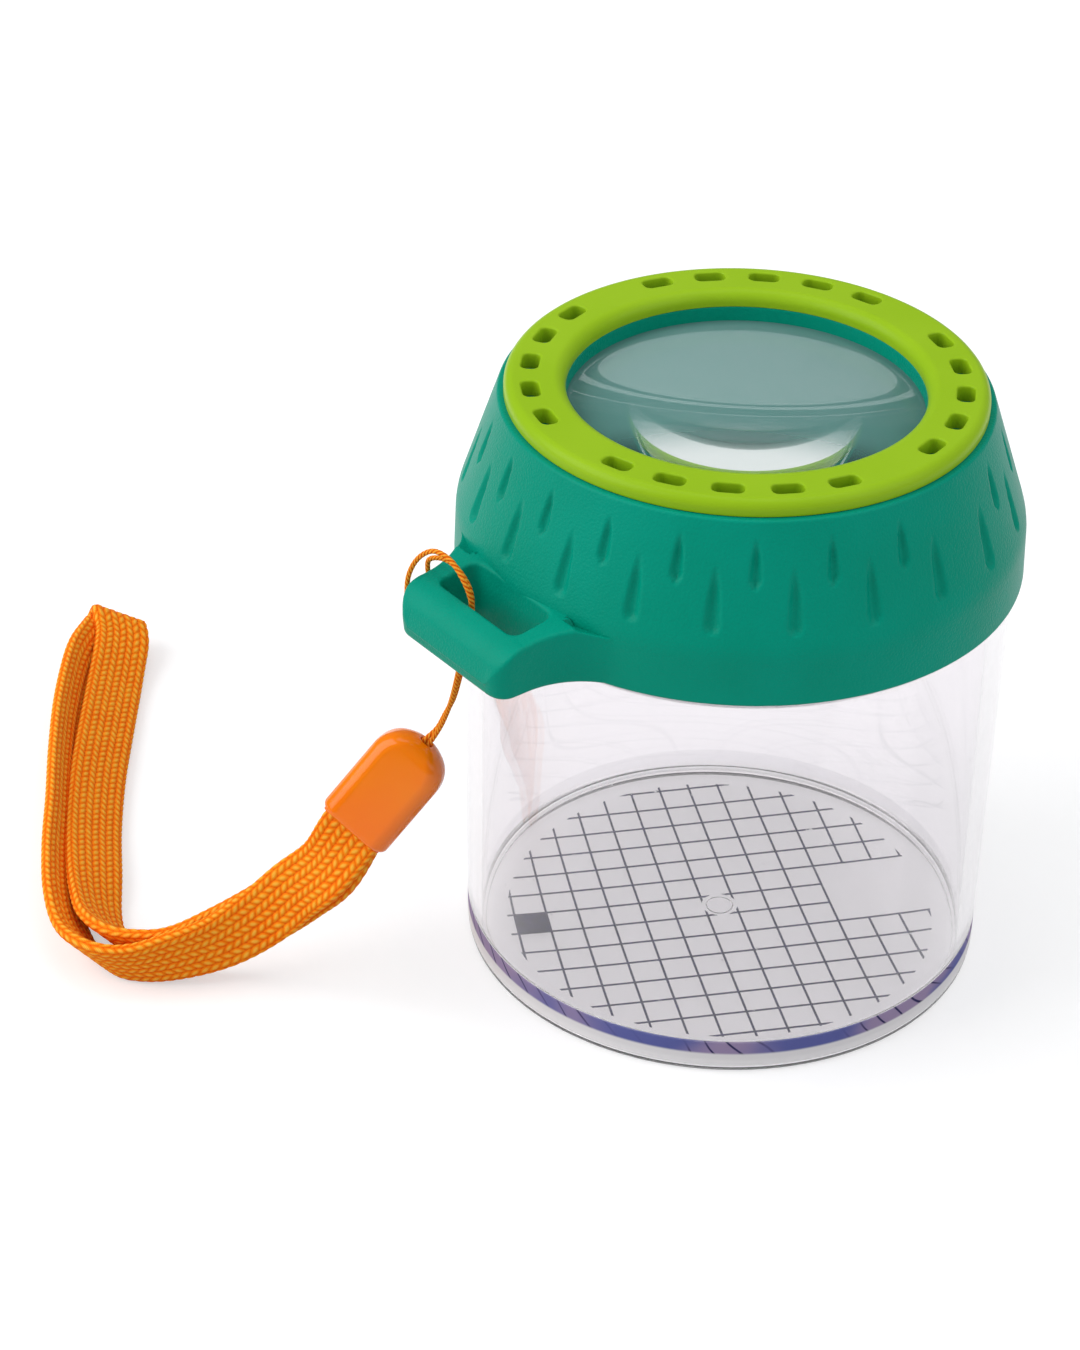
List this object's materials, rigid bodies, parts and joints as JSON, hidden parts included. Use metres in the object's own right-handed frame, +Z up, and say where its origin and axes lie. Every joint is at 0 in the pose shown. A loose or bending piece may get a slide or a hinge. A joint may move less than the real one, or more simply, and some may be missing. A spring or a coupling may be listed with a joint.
{
  "type": "bug catcher jar",
  "caption": "Clear screw-top viewing jar with a measuring grid floor, vented lid holding a magnifying lens, and a wrist strap on the lid's eye",
  "frame": {"origin": "on the jar's axis at the face that it stands on", "axes": "+Z up along the jar's axis, -X through the middle of the strap eye, +Y completes a right-handed frame"},
  "size_m": [0.1355, 0.1694, 0.0974],
  "materials": {
    "jar_body": "clear moulded plastic",
    "floor_grid": "thin dark printed lines",
    "lid_collar": "fine moulded texture, satin",
    "vent_ring": "satin moulded",
    "magnifier_lens": "polished clear lens",
    "lens_retainer": "satin moulded",
    "cord_loop": "thin twisted cord",
    "strap_cap": "glossy moulded",
    "wrist_strap": "flat braid, soft sheen"
  },
  "bodies": {
    "jar": {"jar_body": "jar_body", "floor_grid": "floor_grid"},
    "lens": {"magnifier_lens": "magnifier_lens"},
    "lid": {"lid_collar": "lid_collar", "vent_ring": "vent_ring", "lens_retainer": "lens_retainer", "cord_loop": "cord_loop", "strap_cap": "strap_cap", "wrist_strap": "wrist_strap"}
  },
  "joints": [
    {"name": "lid_lift", "type": "slide", "parent": "jar", "child": "lens", "axis": [0, 0, 1], "range_m": [0, 0.0125]},
    {"name": "lid_turn", "type": "hinge", "parent": "lens", "child": "lid", "pos_m": [0, 0, 0.09], "axis": [0, 0, 1], "range_deg": [0, 450]}
  ],
  "couplings": [
    {"joint": "lid_lift", "follows": "lid_turn", "m_per_rad": 0.0015915}
  ]
}
